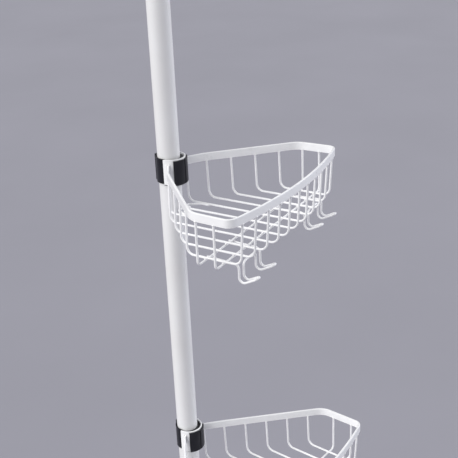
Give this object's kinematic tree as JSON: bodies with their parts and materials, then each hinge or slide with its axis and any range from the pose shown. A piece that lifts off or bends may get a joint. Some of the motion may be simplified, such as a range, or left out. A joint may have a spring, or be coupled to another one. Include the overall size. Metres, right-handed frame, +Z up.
{
  "type": "tension pole shelf unit",
  "caption": "Corner wire baskets on a floor-to-ceiling tension pole; each basket slides along the pole and turns about it on a clamp collar, and the small ones carry hooks.",
  "frame": {"origin": "on the floor under the pole's axis, at the middle of the foot pad's face", "axes": "+Z up along the pole, -Y out of the corner towards the open fronts of the baskets, +X to their right seen from the corner"},
  "size_m": [0.2729, 0.2158, 2.4],
  "materials": {
    "tube_coat": "white powder coat, semi-gloss",
    "wire_coat": "white dip coat, semi-gloss, a little thicker at the welds",
    "clamp_plastic": "near-black moulded plastic, semi-gloss",
    "liner_plastic": "near-black moulded plastic, dull",
    "cap_plastic": "near-black moulded plastic, semi-gloss",
    "guide_plastic": "black moulded plastic",
    "plug_steel": "bare rolled steel",
    "spring_steel": "oiled spring steel",
    "pad_rubber": "dark rubber, matte"
  },
  "bodies": {
    "pole": {"foot_cap": "cap_plastic", "foot_pad": "pad_rubber", "guide_bush": "guide_plastic", "lower_joint_plug": "plug_steel", "pole_lower_tube": "tube_coat", "pole_middle_tube": "tube_coat", "pole_upper_tube": "tube_coat", "spring_seat": "guide_plastic", "tension_spring": "spring_steel", "upper_joint_plug": "plug_steel"},
    "spring_shaft": {"spring_tube": "tube_coat", "plunger": "guide_plastic", "top_cap": "cap_plastic", "ceiling_pad": "pad_rubber"},
    "basket_1_slider": {"basket_1_liner": "liner_plastic"},
    "basket_1": {"basket_1_clamp_left": "clamp_plastic", "basket_1_clamp_right": "clamp_plastic", "basket_1_cross_wires": "wire_coat", "basket_1_floor_wires": "wire_coat", "basket_1_nose_wire": "wire_coat", "basket_1_rim_band": "wire_coat", "basket_1_saddle": "wire_coat"},
    "basket_2_slider": {"basket_2_liner": "liner_plastic"},
    "basket_2": {"basket_2_clamp_left": "clamp_plastic", "basket_2_clamp_right": "clamp_plastic", "basket_2_cross_wires": "wire_coat", "basket_2_floor_wires": "wire_coat", "basket_2_nose_wire": "wire_coat", "basket_2_rim_band": "wire_coat", "basket_2_saddle": "wire_coat"},
    "basket_3_slider": {"basket_3_liner": "liner_plastic"},
    "basket_3": {"basket_3_clamp_left": "clamp_plastic", "basket_3_clamp_right": "clamp_plastic", "basket_3_cross_wires": "wire_coat", "basket_3_floor_wires": "wire_coat", "basket_3_hook_wires": "wire_coat", "basket_3_nose_wire": "wire_coat", "basket_3_rim_band": "wire_coat", "basket_3_saddle": "wire_coat"},
    "basket_4_slider": {"basket_4_liner": "liner_plastic"},
    "basket_4": {"basket_4_clamp_left": "clamp_plastic", "basket_4_clamp_right": "clamp_plastic", "basket_4_cross_wires": "wire_coat", "basket_4_floor_wires": "wire_coat", "basket_4_hook_wires": "wire_coat", "basket_4_nose_wire": "wire_coat", "basket_4_rim_band": "wire_coat", "basket_4_saddle": "wire_coat"}
  },
  "joints": [
    {"name": "tension_slide", "type": "slide", "parent": "pole", "child": "spring_shaft", "axis": [0, 0, 1], "range_m": [-0.05, 0], "stiffness_N_per_m": 2000, "springref_m": 0.02, "deforming": ["tension_spring"]},
    {"name": "basket_1_height", "type": "slide", "parent": "pole", "child": "basket_1_slider", "axis": [0, 0, 1], "range_m": [-0.12, 0.12]},
    {"name": "basket_1_turn", "type": "hinge", "parent": "basket_1_slider", "child": "basket_1", "pos_m": [0, 0, 0.5592], "axis": [0, 0, 1], "continuous": true},
    {"name": "basket_2_height", "type": "slide", "parent": "pole", "child": "basket_2_slider", "axis": [0, 0, 1], "range_m": [-0.12, 0.12]},
    {"name": "basket_2_turn", "type": "hinge", "parent": "basket_2_slider", "child": "basket_2", "pos_m": [0, 0, 0.9136], "axis": [0, 0, 1], "continuous": true},
    {"name": "basket_3_height", "type": "slide", "parent": "pole", "child": "basket_3_slider", "axis": [0, 0, 1], "range_m": [-0.12, 0.12]},
    {"name": "basket_3_turn", "type": "hinge", "parent": "basket_3_slider", "child": "basket_3", "pos_m": [0, 0, 1.268], "axis": [0, 0, 1], "continuous": true},
    {"name": "basket_4_height", "type": "slide", "parent": "pole", "child": "basket_4_slider", "axis": [0, 0, 1], "range_m": [-0.12, 0.12]},
    {"name": "basket_4_turn", "type": "hinge", "parent": "basket_4_slider", "child": "basket_4", "pos_m": [0, 0, 1.6224], "axis": [0, 0, 1], "continuous": true}
  ]
}
